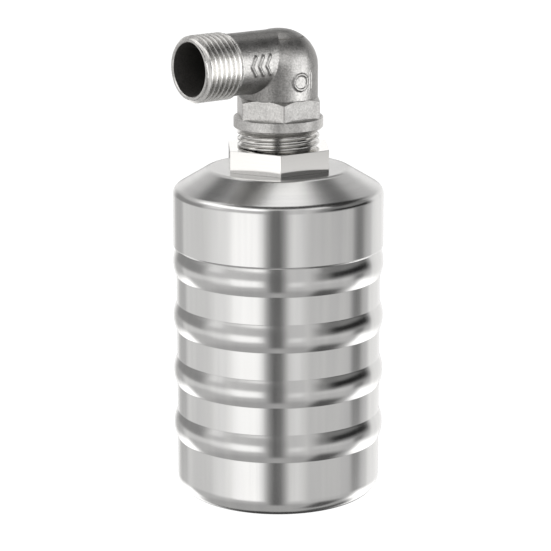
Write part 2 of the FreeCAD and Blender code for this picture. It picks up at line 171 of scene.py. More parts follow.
# %% Paint the tent on the world
def build_studio():
    """Paint the panels on the world, and give the camera a plain white backdrop."""
    world = bpy.data.worlds.new("light_tent")
    bpy.context.scene.world = world
    world.use_nodes = True
    tree = world.node_tree
    tree.nodes.clear()
    place = add(tree, "ShaderNodeTexCoord")
    turned = add(tree, "ShaderNodeVectorRotate", {
        "Vector": place.outputs["Generated"], "Angle": -VIEW_AZIMUTH,
    }, rotation_type="Z_AXIS")
    axes = add(tree, "ShaderNodeSeparateXYZ", {0: turned.outputs[0]})
    back = add(tree, "ShaderNodeMath", {0: axes.outputs["Y"], 1: -1.0}, operation="MULTIPLY")
    bearing = add(tree, "ShaderNodeMath", {0: axes.outputs["X"], 1: back.outputs[0]},
                  operation="ARCTAN2")
    height = add(tree, "ShaderNodeMath", {0: axes.outputs["Z"]}, operation="ARCSINE")
    light = add(tree, "ShaderNodeValue")
    light.outputs[0].default_value = TENT_GREY
    level = light.outputs[0]
    for name, panel_bearing, panel_height, half_width, half_depth, soft, brightness in PANELS:
        masks = []
        for angle, centre, half in (
            (bearing, panel_bearing, half_width),
            (height, panel_height, half_depth),
        ):
            away = add(tree, "ShaderNodeMath", {
                0: angle.outputs[0], 1: math.radians(centre),
            }, operation="SUBTRACT")
            wrapped = add(tree, "ShaderNodeMath", {
                0: away.outputs[0], 1: math.pi, 2: -math.pi,
            }, operation="WRAP")
            distance = add(tree, "ShaderNodeMath", {0: wrapped.outputs[0]}, operation="ABSOLUTE")
            mask = add(tree, "ShaderNodeMapRange", {
                "Value": distance.outputs[0],
                "From Min": math.radians(half - soft / 2),
                "From Max": math.radians(half + soft / 2),
                "To Min": 1.0, "To Max": 0.0,
            }, interpolation_type="SMOOTHERSTEP")
            masks.append(mask.outputs["Result"])
        both = add(tree, "ShaderNodeMath", {0: masks[0], 1: masks[1]}, operation="MULTIPLY")
        mixed = add(tree, "ShaderNodeMix", {
            "Factor": both.outputs[0], "A": level, "B": brightness,
        }, data_type="FLOAT", label=name)
        level = mixed.outputs["Result"]
    tent = add(tree, "ShaderNodeBackground", {"Color": linear("#FFFEFD"), "Strength": level})
    backdrop = add(tree, "ShaderNodeBackground", {"Color": linear("#FFFFFF"), "Strength": 1.0})
    ray = add(tree, "ShaderNodeLightPath")
    seen = add(tree, "ShaderNodeMixShader", {
        0: ray.outputs["Is Camera Ray"], 1: tent.outputs[0], 2: backdrop.outputs[0],
    })
    add(tree, "ShaderNodeOutputWorld", {"Surface": seen.outputs[0]})
    print("tent nodes", len(tree.nodes))


build_studio()
bpy.context.scene.view_settings.view_transform = "Standard"

# %% [markdown]
# ## Floor
# The valve hangs from its inlet in use, and its drum drops as the tank empties. The pale
# floor lies just below the lowest place that the drum reaches. It glows a little, as a
# white table lit from below does, so that it stays plain, and it is left out of the
# metal's reflections.

# %% Floor
DRUM_DROP = -min(
    joint["range_m"][0] for joint in frame["record"]["behaviour"]["joints"]
    if joint["name"] == "drum_slide"
)
FLOOR_GAP = 0.001
FLOOR_RADIUS = 6.0
GLOW_STRENGTH = 1.10
GLOW_SHARE = 0.94


def build_floor():
    """A large round floor below the drum's lowest place."""
    bm = bmesh.new()
    bmesh.ops.create_circle(bm, cap_ends=True, segments=96, radius=FLOOR_RADIUS)
    mesh = bpy.data.meshes.new("floor")
    bm.to_mesh(mesh)
    bm.free()
    floor = bpy.data.objects.new("floor", mesh)
    bpy.context.scene.collection.objects.link(floor)
    floor.location.z = -DRUM_DROP - FLOOR_GAP
    paint = bpy.data.materials.new("white_table")
    paint.use_nodes = True
    paint.node_tree.nodes.clear()
    diffuse = add(paint.node_tree, "ShaderNodeBsdfDiffuse", {"Color": linear("#F4F4F2")})
    glow = add(paint.node_tree, "ShaderNodeEmission", {
        "Color": linear("#FFFFFF"), "Strength": GLOW_STRENGTH,
    })
    mixed = add(paint.node_tree, "ShaderNodeMixShader", {
        0: GLOW_SHARE, 1: diffuse.outputs[0], 2: glow.outputs[0],
    })
    add(paint.node_tree, "ShaderNodeOutputMaterial", {"Surface": mixed.outputs[0]})
    mesh.materials.append(paint)
    floor.visible_glossy = False
    print("floor at mm", round(floor.location.z / MM, 2))


build_floor()

# %% [markdown]
# ## Metal finishes
# Stainless steel is a metal, so its colour is in its reflections: metallic is 1 and the IOR
# stays at its default. The finishes differ in how the surface was made. Drawn and polished
# sheet has faint upright streaks from the polishing belt. Turned bar has rings around its
# axis. An investment casting is shot-blasted and tumbled, which leaves soft mottling. Each
# pattern is worked out from a size in millimetres in the object's own space. A painted
# image could be wrapped round instead, but noise stays sharp however close the eye comes.

# %% Pattern helpers
NOISE_LOW = 0.3
NOISE_HIGH = 0.7


def start_material(name):
    """A new empty material, its tree and its object-space position in millimetres."""
    material = bpy.data.materials.new(name)
    material.use_nodes = True
    tree = material.node_tree
    tree.nodes.clear()
    place = add(tree, "ShaderNodeTexCoord")
    scaled = add(tree, "ShaderNodeVectorMath", {0: place.outputs["Object"], "Scale": 1 / MM},
                 operation="SCALE")
    return material, tree, scaled.outputs[0]


def around_axis(tree, position, centre, radius, lie_flat=False):
    """Position on a round wall in millimetres: arc length, and distance along the axis."""
    moved = add(tree, "ShaderNodeVectorMath", {0: position, 1: centre}, operation="SUBTRACT")
    axes = add(tree, "ShaderNodeSeparateXYZ", {0: moved.outputs[0]})
    first, second, along = ("Y", "Z", "X") if lie_flat else ("X", "Y", "Z")
    angle = add(tree, "ShaderNodeMath", {0: axes.outputs[second], 1: axes.outputs[first]},
                operation="ARCTAN2")
    arc = add(tree, "ShaderNodeMath", {0: angle.outputs[0], 1: radius}, operation="MULTIPLY")
    return arc.outputs[0], axes.outputs[along]


def grain(tree, across, along, across_mm, along_mm, detail=3.0):
    """Stretched noise: one streak about across_mm wide and along_mm long."""
    across_scaled = add(tree, "ShaderNodeMath", {0: across, 1: 1 / across_mm},
                        operation="MULTIPLY")
    along_scaled = add(tree, "ShaderNodeMath", {0: along, 1: 1 / along_mm},
                       operation="MULTIPLY")
    joined = add(tree, "ShaderNodeCombineXYZ", {0: across_scaled.outputs[0],
                                                1: along_scaled.outputs[0]})
    noise = add(tree, "ShaderNodeTexNoise", {
        "Vector": joined.outputs[0], "Scale": 1.0, "Detail": detail, "Roughness": 0.6,
    })
    return noise.outputs["Fac"]


def mottle(tree, position, size_mm, detail=4.0):
    """Even noise whose patches are about size_mm across."""
    noise = add(tree, "ShaderNodeTexNoise", {
        "Vector": position, "Scale": 1 / size_mm, "Detail": detail, "Roughness": 0.6,
    })
    return noise.outputs["Fac"]


def surface(tree, tones, shine, bumps, **sockets):
    """Shader from patterns.

    tones is a pattern with its dark and its light colour. shine lists patterns, each with a
    low and a high roughness, and they add up. bumps lists patterns with a depth in mm.
    """
    tone_pattern, dark, light = tones
    spreads = [
        add(tree, "ShaderNodeMapRange", {
            "Value": pattern, "From Min": NOISE_LOW, "From Max": NOISE_HIGH,
            "To Min": low, "To Max": high,
        }).outputs["Result"]
        for pattern, low, high in [(tone_pattern, 0.0, 1.0), *shine]
    ]
    colour = add(tree, "ShaderNodeMix", {
        "Factor": spreads[0], "A": linear(dark), "B": linear(light),
    }, data_type="RGBA")
    roughness = spreads[1]
    for spread in spreads[2:]:
        total = add(tree, "ShaderNodeMath", {0: roughness, 1: spread}, operation="ADD")
        roughness = total.outputs[0]
    inputs = {"Base Color": colour.outputs["Result"], "Roughness": roughness, **sockets}
    for pattern, depth_mm in bumps:
        bump = {"Height": pattern, "Distance": depth_mm * MM, "Strength": 1.0}
        if "Normal" in inputs:
            bump["Normal"] = inputs["Normal"]
        inputs["Normal"] = add(tree, "ShaderNodeBump", bump).outputs["Normal"]
    shader = add(tree, "ShaderNodeBsdfPrincipled", inputs)
    add(tree, "ShaderNodeOutputMaterial", {"Surface": shader.outputs[0]})


# %% [markdown]
# ## Polished drawn sheet
# The drum is stainless sheet, drawn in a press and polished on a belt. To the eye it is a
# blurred mirror: wide soft stripes, crossed by hardly visible upright streaks. The cone and
# the flat base are spun against a tool instead, so their streaks run in rings.

# %% Polished drawn sheet, for the drum
DRUM_WALL_R = 33.0
# The belt's scratches are 0.02 mm apart, too fine to show, so they are drawn at 0.5 mm.
STREAK_MM = 0.5


def polished_sheet(name, rough_low, rough_high, ripple, spun=False):
    """Stainless sheet: faint streaks and ripples, upright or, when spun, in rings."""
    material, tree, position = start_material(name)
    arc, height = around_axis(tree, position, (0, 0, 0), DRUM_WALL_R)
    if spun:
        flat = add(tree, "ShaderNodeVectorMath", {0: position, 1: (1, 1, 0)},
                   operation="MULTIPLY")
        radius = add(tree, "ShaderNodeVectorMath", {0: flat.outputs[0]}, operation="LENGTH")
        arc, height = radius.outputs["Value"], arc
    streaks = grain(tree, arc, height, STREAK_MM, 60.0)
    broad = grain(tree, arc, height, 4.0, 90.0, detail=1.0)
    cloud = mottle(tree, position, 18.0, detail=1.0)
    surface(tree, (broad, "#C9C9C9", "#D1D1D0"),
            [(streaks, rough_low, rough_high), (cloud, -0.015, 0.015)],
            [(streaks, 0.0006 * ripple), (broad, 0.004 * ripple)], Metallic=1.0)
    return material


SHEET_FINISH = polished_sheet("polished_drawn_stainless", 0.16, 0.20, 0.6)
SPUN_FINISH = polished_sheet("satin_spun_stainless", 0.235, 0.265, 0.2, spun=True)
print("finishes", SHEET_FINISH.name, SPUN_FINISH.name)

# %% [markdown]
# ## Investment casting
# The elbow is cast stainless, shot-blasted and tumbled in stones. That leaves a satin skin
# with soft pits about half a millimetre across, so it shows light and shade more than
# reflections. The hexagon's flats have been ground, and are brighter.

# %% Investment casting, for the elbow
PIT_MM = 0.55
WAVE_MM = 3.2


def cast_stainless(name, dark, light):
    """Shot-blasted and tumbled casting: satin, with soft pits and a mottled shine."""
    material, tree, position = start_material(name)
    pits = mottle(tree, position, PIT_MM, detail=3.0)
    waves = mottle(tree, position, WAVE_MM, detail=2.0)
    surface(tree, (pits, dark, light), [(waves, 0.34, 0.44)],
            [(waves, 0.08), (pits, 0.055)], Metallic=1.0)
    return material


CAST_FINISH = cast_stainless("investment_cast_stainless", "#7A7978", "#9E9D9B")
FLATS_FINISH = cast_stainless("ground_cast_stainless", "#B6B5B3", "#DCDBD9")
print("finishes", CAST_FINISH.name, FLATS_FINISH.name)

# %% [markdown]
# ## Turned bar
# The nut, the neck and the tube are turned from bright bar. They are nearly mirrors, with very
# fine rings from the tool. The cut thread of the neck is a little rougher, and its colour is
# painted greyer as shade in the thread's roots.

# %% Turned bar, for the nut, neck and tube
NECK_WALL_R = 13.0
# Feed marks are 0.05 mm apart, too fine to show, so they are drawn at 0.25 mm.
FEED_MM = 0.25


def turned_stainless(name, dark, light, rough_low, rough_high):
    """Turned bar: mirror-like, with very fine rings left by the tool."""
    material, tree, position = start_material(name)
    arc, height = around_axis(tree, position, (0, 0, 0), NECK_WALL_R)
    rings = grain(tree, height, arc, FEED_MM, 40.0)
    surface(tree, (rings, dark, light), [(rings, rough_low, rough_high)],
            [(rings, 0.0006)], Metallic=1.0)
    return material


TURNED_FINISH = turned_stainless("turned_polished_stainless", "#EAE9E7", "#F1F0EE", 0.09, 0.14)
# The neck's greyer colour is painted shade for the thread's roots; its higher roughness is the cut
# surface.
NECK_SHADED_FINISH = turned_stainless("cut_thread_painted_shade", "#BEBDBB", "#D6D5D3", 0.12, 0.18)
print("finishes", TURNED_FINISH.name, NECK_SHADED_FINISH.name)

# %% [markdown]
# ## Machined casting
# The inlet's thread is cut into the casting, so it is brighter than the cast skin, and the
# tool has torn it slightly: small marks run along each turn. Its place comes from the
# model's own record of where the inlet is.

# %% Machined casting, for the inlet thread
INLET = next(
    mount for mount in frame["record"]["mounts"] if mount["name"] == "inlet_thread"
)
INLET_Z = round(INLET["pos_m"][2] / MM, 3)
THREAD_WALL_R = 10.0
TOOL_MARK_MM = 0.22


def machined_thread():
    """Cut thread in the casting: brighter than the cast skin, with tool marks along it."""
    material, tree, position = start_material("machined_cast_stainless")
    arc, along = around_axis(tree, position, (0, 0, INLET_Z), THREAD_WALL_R, lie_flat=True)
    marks = grain(tree, along, arc, TOOL_MARK_MM, 9.0)
    patches = mottle(tree, position, 1.2)
    surface(tree, (patches, "#BEBDBB", "#D6D5D3"), [(patches, 0.24, 0.34)],
            [(patches, 0.006), (marks, 0.004)], Metallic=1.0)
    return material


THREAD_FINISH = machined_thread()
print("finish", THREAD_FINISH.name, "inlet at mm", INLET_Z)

# %% [markdown]
# ## Inside pieces
# What is inside shows only when the drum has dropped: turned stainless, spring wire, brass,
# white PTFE and acetal, and black nitrile rubber. Metals get an even grain. The plastics and
# the rubber aren't metals, so each has its own IOR and no metallic.

# %% Inside skins, spring wire, brass, plastics and rubber
def plain_metal(name, dark, light, rough_low, rough_high, grain_mm):
    """An inner metal piece with an even grain of the stated size."""
    material, tree, position = start_material(name)
    spots = mottle(tree, position, grain_mm)
    surface(tree, (spots, dark, light), [(spots, rough_low, rough_high)],
            [(spots, grain_mm * 0.01)], Metallic=1.0)
    return material


def plain_solid(name, dark, light, rough_low, rough_high, grain_mm, ior):
    """A plastic or rubber piece with slight colour variation and moulded grain."""
    material, tree, position = start_material(name)
    spots = mottle(tree, position, grain_mm)
    surface(tree, (spots, dark, light), [(spots, rough_low, rough_high)],
            [(spots, grain_mm * 0.02)], IOR=ior)
    return material


# The passage finish is the as-cast skin painted dark: painted shade inside the bore, socket and
# passage.
PASSAGE_SHADE_FINISH = plain_metal("cast_passage_painted_shade", "#6E6C6A", "#8C8A87", 0.55, 0.70, 0.6)
print("finish", PASSAGE_SHADE_FINISH.name)

# %% The finish of each slot in the model's record
FINISHES = {
    "drum_sheet": SHEET_FINISH,
    "cast_stainless": CAST_FINISH,
    "turned_stainless": TURNED_FINISH,
    "inner_stainless": plain_metal("as_turned_stainless", "#A9A8A6", "#C4C3C1", 0.24, 0.34, 0.4),
    "spring_steel": plain_metal("drawn_spring_wire", "#8E9093", "#B4B5B7", 0.18, 0.28, 0.3),
    "brass": plain_metal("turned_brass", "#B08D45", "#D3B267", 0.18, 0.30, 0.4),
    "ptfe": plain_solid("white_ptfe", "#E9E9E4", "#F7F7F4", 0.38, 0.50, 0.8, 1.35),
    "acetal": plain_solid("turned_acetal", "#DAD8CF", "#EBEAE3", 0.30, 0.42, 0.6, 1.48),
    "nbr": plain_solid("moulded_nitrile_rubber", "#141414", "#242424", 0.50, 0.68, 0.3, 1.52),
}
print("slots with a finish", sorted(FINISHES))

# %% [markdown]
# ## Turning a profile
# The drum, the neck and the tube are bodies of revolution. The Screw modifier can spin a
# profile, but smooth metal shows every kink, so the profile here is worked out exactly:
# corners with true arcs, then one ring of points per profile point. Each straight run gets
# a point close to both its ends, which keeps the shading of long walls flat.

# %% Round the corners of a profile
ARC_STEP = math.radians(4.0)
EDGE_GUARD = 0.12


def rounded(corners):
    """Polyline through (r, z) corners in millimetres; a third number rounds a corner."""
    line = []
    last = len(corners) - 1
    for index, corner in enumerate(corners):
        here = np.array(corner[:2], float)
        radius = corner[2] if len(corner) > 2 else 0.0
        if index in (0, last) or radius == 0.0:
            line.append(("corner", [here]))
            continue
        before = np.array(corners[index - 1][:2], float) - here
        after = np.array(corners[index + 1][:2], float) - here
        before /= np.linalg.norm(before)
        after /= np.linalg.norm(after)
        half = math.acos(np.clip(before @ after, -1, 1)) / 2
        middle = here + (before + after) / np.linalg.norm(before + after) * radius / math.sin(half)
        start = here + before * radius / math.tan(half) - middle
        sweep = math.pi - 2 * half
        end = here + after * radius / math.tan(half) - middle
        side = math.copysign(1.0, start[0] * end[1] - start[1] * end[0])
        count = max(3, math.ceil(sweep / ARC_STEP))
        arc = []
        for step in range(count + 1):
            angle = side * sweep * step / count
            arc.append(middle + np.array((
                start[0] * math.cos(angle) - start[1] * math.sin(angle),
                start[0] * math.sin(angle) + start[1] * math.cos(angle),
            )))
        line.append(("arc", arc))
    points = []
    for index, (kind, run) in enumerate(line):
        if index:
            gap = run[0] - points[-1]
            length = np.linalg.norm(gap)
            if length > 3 * EDGE_GUARD:
                points.append(points[-1] + gap * EDGE_GUARD / length)
                points.append(run[0] - gap * EDGE_GUARD / length)
        points.extend(run)
    return [(float(r), float(z)) for r, z in points]


print("points on one rounded right angle", len(rounded([(1, 0), (2, 0, 0.5), (2, 1)])))


# %% Turn a profile into a mesh
def mesh_object(name, verts, faces):
    """Object from points in millimetres, with doubled points merged."""
    mesh = bpy.data.meshes.new(name)
    mesh.from_pydata([tuple(np.array(v) * MM) for v in verts], [], faces)
    bm = bmesh.new()
    bm.from_mesh(mesh)
    bmesh.ops.remove_doubles(bm, verts=bm.verts, dist=2e-6)
    bmesh.ops.dissolve_degenerate(bm, edges=bm.edges, dist=1e-7)
    bmesh.ops.recalc_face_normals(bm, faces=bm.faces)
    bm.to_mesh(mesh)
    bm.free()
    piece = bpy.data.objects.new(name, mesh)
    bpy.context.scene.collection.objects.link(piece)
    return piece


def lathe(name, outline, steps=288, closed=True):
    """Turn an outline about Z. A function in the outline gives (r, z) rows for each angle."""
    verts, faces = [], []
    columns = []
    for column in range(steps + 1):
        turn = column / steps
        rows = []
        for part in outline:
            rows.extend(part(turn) if callable(part) else [part])
        columns.append(rows)
    height = len(columns[0])
    for column, rows in enumerate(columns):
        angle = 2 * math.pi * (column % steps) / steps
        for r, z in rows:
            verts.append((r * math.cos(angle), r * math.sin(angle), z))
    for column in range(steps):
        for row in range(height if closed else height - 1):
            following = (row + 1) % height
            a = column * height
            b = a + height
            faces.append((a + row, b + row, b + following, a + following))
    return mesh_object(name, verts, faces)


# %% Rows of a thread
ROWS_PER_TURN = 14
CREST_SHARE = 0.16
FLANK_SHARE = 0.70


def thread(major, minor, pitch, start, end, limit):
    """Rows of a helical thread between two heights; limit(r, z) shaves its ends."""
    count = round((end - start) / pitch * ROWS_PER_TURN) + ROWS_PER_TURN

    def rows(turn):
        made = []
        for row in range(count + 1):
            z = start - pitch + pitch * (row / ROWS_PER_TURN + turn)
            z = min(max(z, start), end)
            phase = (z / pitch - turn) % 1.0
            slope = min(max((abs(phase - 0.5) * 2 - CREST_SHARE) / FLANK_SHARE, 0.0), 1.0)
            rise = 1 - slope * slope * (3 - 2 * slope)
            made.append((limit(minor + (major - minor) * rise, z), z))
        return made

    return rows


# %% Shading, finish and body of a piece
def flat_shading(piece):
    """Let each large flat face keep its own flat shading beside a small bevel."""
    even = piece.modifiers.new("even_shading", "WEIGHTED_NORMAL")
    even.mode = "FACE_AREA"
    even.weight = 90
    even.keep_sharp = True


def second_finish(piece, finish, low_mm, high_mm):
    """Give the faces between two heights another finish."""
    piece.data.materials.append(finish)
    for face in piece.data.polygons:
        if low_mm < face.center.z / MM < high_mm:
            face.material_index = 1


def use_finish(piece, finish, sharp_degrees=32.0):
    """Smooth shading with crisp real edges, and one finish."""
    piece.data.materials.clear()
    piece.data.materials.append(finish)
    piece.data.shade_smooth()
    piece.data.set_sharp_from_angle(angle=math.radians(sharp_degrees))


def stand_for(piece, body, slot, *nodes):
    """The piece rides on its body and stands for the measured nodes."""
    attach(piece, body)
    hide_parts(*nodes)
    print(piece.name, "faces", len(piece.data.polygons))


# %% [markdown]
# ## Drum body
# The float is a deep-drawn cup with four rolled beads, which stop the thin sheet from
# buckling, and a welded cover. A bead rolled into sheet is a shallow arc with a tight bend
# at each foot: those tight bends are what draw the thin bright and dark lines. The cup's
# outside is turned as one sheet, and the Solidify modifier gives the sheet its thickness.

# %% Drum body
body_low, body_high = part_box("drum_body")
cover_low, cover_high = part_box("drum_cover")
SHEET = 0.6
BEAD_R = body_high.x / MM
COVER_R = cover_high.x / MM
COVER_LOW_Z = cover_low.z / MM
DISC_Z = cover_high.z / MM
BEAD_RISE = 1.05
BAND_R = BEAD_R - BEAD_RISE
BEAD_HEIGHT = 8.9
BEAD_PITCH = 17.75
BEAD_COUNT = 4
FIRST_BEAD_Z = 18.6
BEAD_SLOPE = math.radians(22.4)
BEAD_ROOT_R = 0.6
BASE_CORNER_R = 6.2
LAP_GAP = 0.05
LAP_STEP = 0.1


def sheet_piece(name, corners):
    """Turned sheet: the outside from corners, the thickness from Solidify."""
    piece = lathe(name, rounded(corners), closed=False)
    bm = bmesh.new()
    bm.from_mesh(piece.data)
    rim = max(bm.faces, key=lambda face: face.calc_center_median().xy.length)
    if rim.normal.xy @ rim.calc_center_median().xy < 0:
        bmesh.ops.reverse_faces(bm, faces=bm.faces)
    bm.to_mesh(piece.data)
    bm.free()
    solid = piece.modifiers.new("sheet", "SOLIDIFY")
    solid.thickness = SHEET * MM
    solid.offset = -1.0
    solid.use_even_offset = True
    return piece


def build_drum_body():
    """The ribbed cup, with its rim necked in to pass up inside the cover."""
    half = BEAD_HEIGHT / 2
    rise = half * math.tan(BEAD_SLOPE)
    bead_r = (rise - (BEAD_R - BAND_R)) / (1 / math.cos(BEAD_SLOPE) - 1)
    corners = [(0.0, 0.0), (BAND_R, 0.0, BASE_CORNER_R)]
    for index in range(BEAD_COUNT):
        low = FIRST_BEAD_Z + BEAD_PITCH * index
        corners.append((BAND_R, low, BEAD_ROOT_R))
        corners.append((BAND_R + rise, low + half, bead_r))
        corners.append((BAND_R, low + BEAD_HEIGHT, BEAD_ROOT_R))
    corners[-1] = (BAND_R, corners[-1][1])
    lap_r = COVER_R - SHEET - LAP_GAP
    corners += [(lap_r, COVER_LOW_Z + LAP_STEP), (lap_r, body_high.z / MM)]
    cup = sheet_piece("drum_cup", corners)
    use_finish(cup, FINISHES["drum_sheet"])
    second_finish(cup, SPUN_FINISH, -0.01, 0.01)
    stand_for(cup, "drum", "drum_sheet", "drum_body")


build_drum_body()

# %% [markdown]
# ## Drum cover
# The cover is a shallow cone with a flat disc in its middle and a short skirt that laps
# over the cup. Its lower edge is slightly rolled, so it catches a fine line of light.

# %% Drum cover
SHOULDER_Z = 99.8
SHOULDER_R = 3.0
DISC_CORNER_R = 4.0
DISC_R = 22.3
COVER_HOLE_R = 15.05
ROLLED_IN = 0.12
ROLLED_HEIGHT = 0.25
ROLLED_R = 0.3


def build_drum_cover():
    """Cone, disc and skirt as one sheet."""
    cover = sheet_piece("drum_lid", [
        (COVER_R - ROLLED_IN, COVER_LOW_Z),
        (COVER_R, COVER_LOW_Z + ROLLED_HEIGHT, ROLLED_R),
        (COVER_R, SHOULDER_Z, SHOULDER_R),
        (DISC_R, DISC_Z, DISC_CORNER_R),
        (COVER_HOLE_R, DISC_Z),
    ])
    use_finish(cover, FINISHES["drum_sheet"])
    second_finish(cover, SPUN_FINISH, SHOULDER_Z, DISC_Z + 1)
    stand_for(cover, "drum", "drum_sheet", "drum_cover")


build_drum_cover()

# %% [markdown]
# ## Valve body
# Neck, nut and tube are turned and milled from one bar. The neck's thread is a true helix:
# each column of points round the neck starts a little higher than the last, so the thread's
# crests run exactly along rows of points and stay crisp. The nut is then joined on and the
# four outlet windows are cut with Boolean modifiers, which are applied at once.

# %% Helpers for milled shapes
def prism(name, across_flats, low, high, first_corner, bevel=0.0):
    """Hexagonal prism with a corner at first_corner degrees from +X."""
    corner_r = across_flats / math.sqrt(3)
    verts = []
    for z in (low, high):
        for index in range(6):
            angle = math.radians(first_corner + 60 * index)
            verts.append((corner_r * math.cos(angle), corner_r * math.sin(angle), z))
    faces = [tuple(range(6))[::-1], tuple(range(6, 12))]
    faces += [(i, (i + 1) % 6, (i + 1) % 6 + 6, i + 6) for i in range(6)]
    piece = mesh_object(name, verts, faces)
    if bevel:
        bm = bmesh.new()
        bm.from_mesh(piece.data)
        bmesh.ops.bevel(bm, geom=bm.edges[:], offset=bevel * MM, segments=2, affect="EDGES",
                        profile=0.5)
        bm.to_mesh(piece.data)
        bm.free()
    return piece


def combine(piece, other, operation):
    """Join or cut with another closed solid, which is then removed."""
    step = piece.modifiers.new("combine", "BOOLEAN")
    step.operation = operation
    step.object = other
    step.solver = "MANIFOLD"
    apply_modifiers(piece)
    bpy.data.objects.remove(other)


def apply_modifiers(piece):
    """Make the result of the piece's modifiers its own mesh."""
    view = bpy.context.view_layer
    view.update()
    graph = bpy.context.evaluated_depsgraph_get()
    made = bpy.data.meshes.new_from_object(piece.evaluated_get(graph))
    piece.modifiers.clear()
    piece.data = made


def block(name, low, high, turn=0.0):
    """Box between two corners in millimetres, turned about Z by degrees."""
    verts = []
    for x in (low[0], high[0]):
        for y in (low[1], high[1]):
            for z in (low[2], high[2]):
                c, s = math.cos(math.radians(turn)), math.sin(math.radians(turn))
                verts.append((x * c - y * s, x * s + y * c, z))
    faces = [(0, 1, 3, 2), (4, 6, 7, 5), (0, 4, 5, 1), (2, 3, 7, 6), (0, 2, 6, 4), (1, 5, 7, 3)]
    return mesh_object(name, verts, faces)


# %% Valve body
valve_low, valve_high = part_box("valve_body")
TUBE_R = 11.0
TUBE_LOW_Z = valve_low.z / MM
TUBE_TOP_Z = 107.5
TUBE_CHAMFER = 0.3
CHAMBER_R = 9.0
CLIP_GROOVE_R = 10.15
CLIP_GROOVE_LOW_Z = 89.1
CLIP_GROOVE_TOP_Z = 90.6
SEAT_LOW_Z = 105.0
SEAT_TOP_Z = 110.0
SEAT_R = 8.0
INLET_BORE_R = 7.0
NUT_FLATS = 31.0
NUT_TURN = -4.9
NUT_TOP_Z = 113.4
NUT_EDGE = 0.12
NUT_HOLE_R = 10.7
NECK_R = 13.0
NECK_ROOT_R = 11.85
NECK_PITCH = 2.0
NECK_TOP_Z = 118.8
NECK_START_SLOPE = 1.1
STUB_R = 10.4
STUB_TOP_Z = valve_high.z / MM
WINDOW_COUNT = 4
WINDOW_WIDTH = 9.0
WINDOW_LOW_Z = 98.2
WINDOW_TOP_Z = 103.6


def build_valve_body():
    """One bar: ported tube, nut, threaded neck and the stub inside the elbow."""
    def neck_limit(r, z):
        return min(r, NECK_ROOT_R + max(0.0, NECK_TOP_Z - z) * NECK_START_SLOPE)

    neck = thread(NECK_R, NECK_ROOT_R, NECK_PITCH, NUT_TOP_Z - 0.4, NECK_TOP_Z, neck_limit)
    bar = lathe("valve_bar", [
        (CHAMBER_R, TUBE_LOW_Z), (TUBE_R - TUBE_CHAMFER, TUBE_LOW_Z),
        (TUBE_R, TUBE_LOW_Z + TUBE_CHAMFER), (TUBE_R, CLIP_GROOVE_LOW_Z),
        (CLIP_GROOVE_R, CLIP_GROOVE_LOW_Z), (CLIP_GROOVE_R, CLIP_GROOVE_TOP_Z),
        (TUBE_R, CLIP_GROOVE_TOP_Z), (TUBE_R, TUBE_TOP_Z), (NECK_ROOT_R, TUBE_TOP_Z), neck,
        (STUB_R, NECK_TOP_Z), (STUB_R, STUB_TOP_Z), (INLET_BORE_R, STUB_TOP_Z),
        (INLET_BORE_R, SEAT_TOP_Z), (SEAT_R, SEAT_TOP_Z), (SEAT_R, SEAT_LOW_Z),
        (CHAMBER_R, SEAT_LOW_Z),
    ], steps=192)
    nut = prism("nut", NUT_FLATS, DISC_Z, NUT_TOP_Z, NUT_TURN, bevel=NUT_EDGE)
    combine(nut, lathe("nut_hole", [
        (0.0, DISC_Z - 1), (NUT_HOLE_R, DISC_Z - 1), (NUT_HOLE_R, NUT_TOP_Z + 1),
        (0.0, NUT_TOP_Z + 1),
    ], steps=192), "DIFFERENCE")
    combine(bar, nut, "UNION")
    for index in range(WINDOW_COUNT):
        window = block("window", (CHAMBER_R - 3, -WINDOW_WIDTH / 2, WINDOW_LOW_Z),
                       (TUBE_R + 3, WINDOW_WIDTH / 2, WINDOW_TOP_Z),
                       45 + 360 / WINDOW_COUNT * index)
        combine(bar, window, "DIFFERENCE")
    use_finish(bar, FINISHES["turned_stainless"], 28.0)
    # The neck's thread gets the greyer finish: painted shade in its roots.
    second_finish(bar, NECK_SHADED_FINISH, NUT_TOP_Z + 0.001, STUB_TOP_Z + 1)
    flat_shading(bar)
    stand_for(bar, "valve", "turned_stainless", "valve_body")


build_valve_body()

# %% [markdown]
# ## Elbow
# The elbow is an investment casting. Its wax pattern has no sharp corner, and tumbling
# rounds what is left. It could be sculpted, but its sizes would drift. So plain solids are
# joined, and the Remesh modifier turns them into one even skin, which a few rounds of
# smoothing soften as tumbling does. The raised marks that a foundry leaves, here three plain
# chevrons, a ring and a bar, are part of the casting.

# %% Elbow sizes
elbow_low, elbow_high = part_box("elbow")
INLET_FACE_X = elbow_low.x / MM
BARREL_R = 9.7
BARREL_END_X = -20.3
BARREL_TUCK = 0.6
BODY_R = 12.45
DOME_R = 11.6
COLLAR_R = elbow_high.x / MM
COLLAR_LOW_Z = elbow_low.z / MM
HEX_LOW_Z = 123.0
HEX_TOP_Z = 129.3
HEX_FLATS = 24.5
HEX_CHAMFER = math.tan(math.radians(32.7))
print("elbow mm", round(COLLAR_R - INLET_FACE_X, 2), round((elbow_high - elbow_low).z / MM, 2))


def lie_along_inlet(piece):
    """Lay a shape turned about +Z onto the inlet's axis, pointing to -X."""
    for vertex in piece.data.vertices:
        x, y, z = vertex.co
        vertex.co = (-z, y, x + INLET_Z * MM)
    piece.data.update()
    return piece


# %% Raised marks
MARK_R = 0.45
CHEVRON_TIPS = (12.0, 14.8, 17.6)
CHEVRON_LENGTH = 1.9
CHEVRON_TURN = 2
CHEVRON_SPREAD = 17
RING_Z = 135.2
RING_R = 2.5
RING_TURN = -3
RING_SPREAD = 11.5
BAR_TURN = 17


